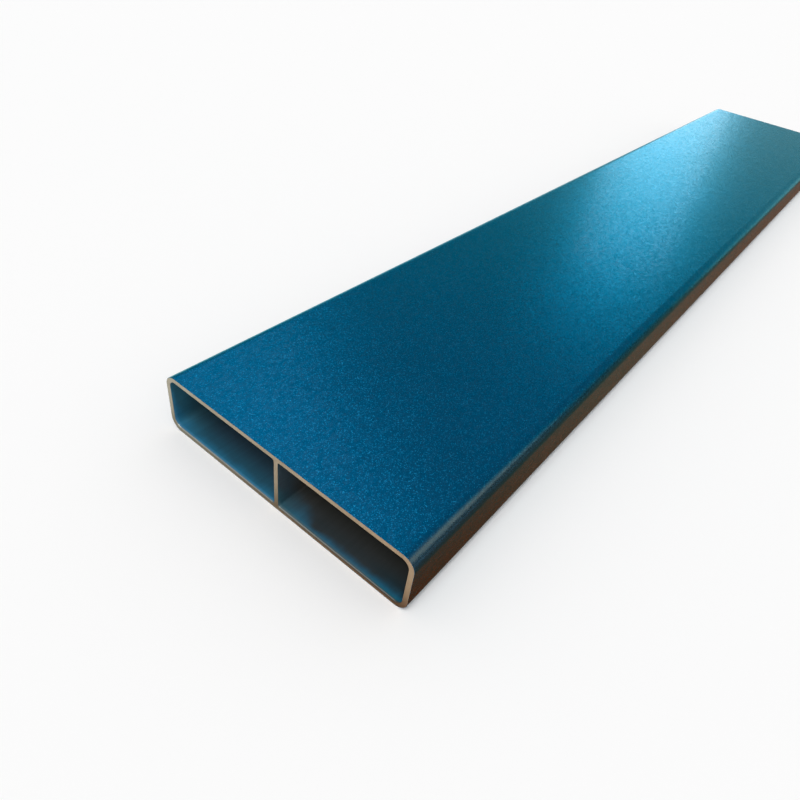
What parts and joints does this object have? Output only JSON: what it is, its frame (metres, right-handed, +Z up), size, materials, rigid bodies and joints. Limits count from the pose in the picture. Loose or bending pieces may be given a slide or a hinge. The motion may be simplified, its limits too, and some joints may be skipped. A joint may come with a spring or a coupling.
{
  "type": "aluminium extrusion profile",
  "caption": "Flat rectangular hollow aluminium extrusion with a central web, rounded corners, blue anodised faces and bare sawn ends; stock for frames, rails and panels.",
  "frame": {"origin": "middle of the wide face that the bar rests on", "axes": "+X across the width of the section, +Y along the length, +Z up from the rest face to the top face"},
  "size_m": [0.09, 0.5, 0.02],
  "materials": {
    "anodised_aluminium": "blasted and blue anodised, satin, with bare sawn ends"
  },
  "bodies": {
    "root": {"profile": "anodised_aluminium"}
  },
  "joints": []
}
